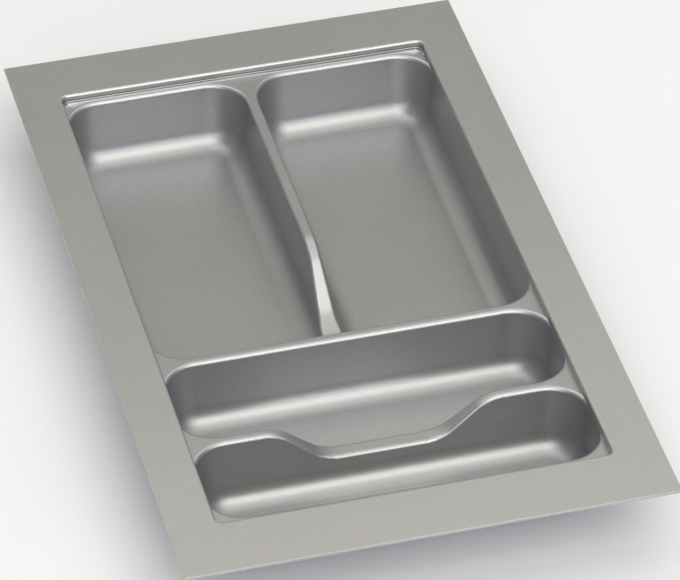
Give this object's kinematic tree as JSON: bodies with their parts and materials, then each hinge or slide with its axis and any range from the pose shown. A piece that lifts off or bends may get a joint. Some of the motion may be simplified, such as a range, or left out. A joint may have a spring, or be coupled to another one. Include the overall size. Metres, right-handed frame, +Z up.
{
  "type": "cutlery tray",
  "caption": "Drawer insert for cutlery: a flat surround rests on a formed tray with long bins behind and cross bins in front, whose ribs dip for the fingers.",
  "frame": {"origin": "centre of the surround, at the height of the undersides of the bins that the tray stands on", "axes": "+Z up, +Y along the tray from the cross bins at the front to the long bins at the back, +X to the right"},
  "size_m": [0.3, 0.504, 0.0521],
  "materials": {
    "silver_plastic": "satin silver grey with a fine grain"
  },
  "bodies": {
    "tray": {"tray_insert": "silver_plastic"},
    "surround": {"surround_frame": "silver_plastic"}
  },
  "joints": [
    {"name": "surround_lift", "type": "slide", "parent": "tray", "child": "surround", "axis": [0, 0, 1], "range_m": [0, 0.06]}
  ]
}
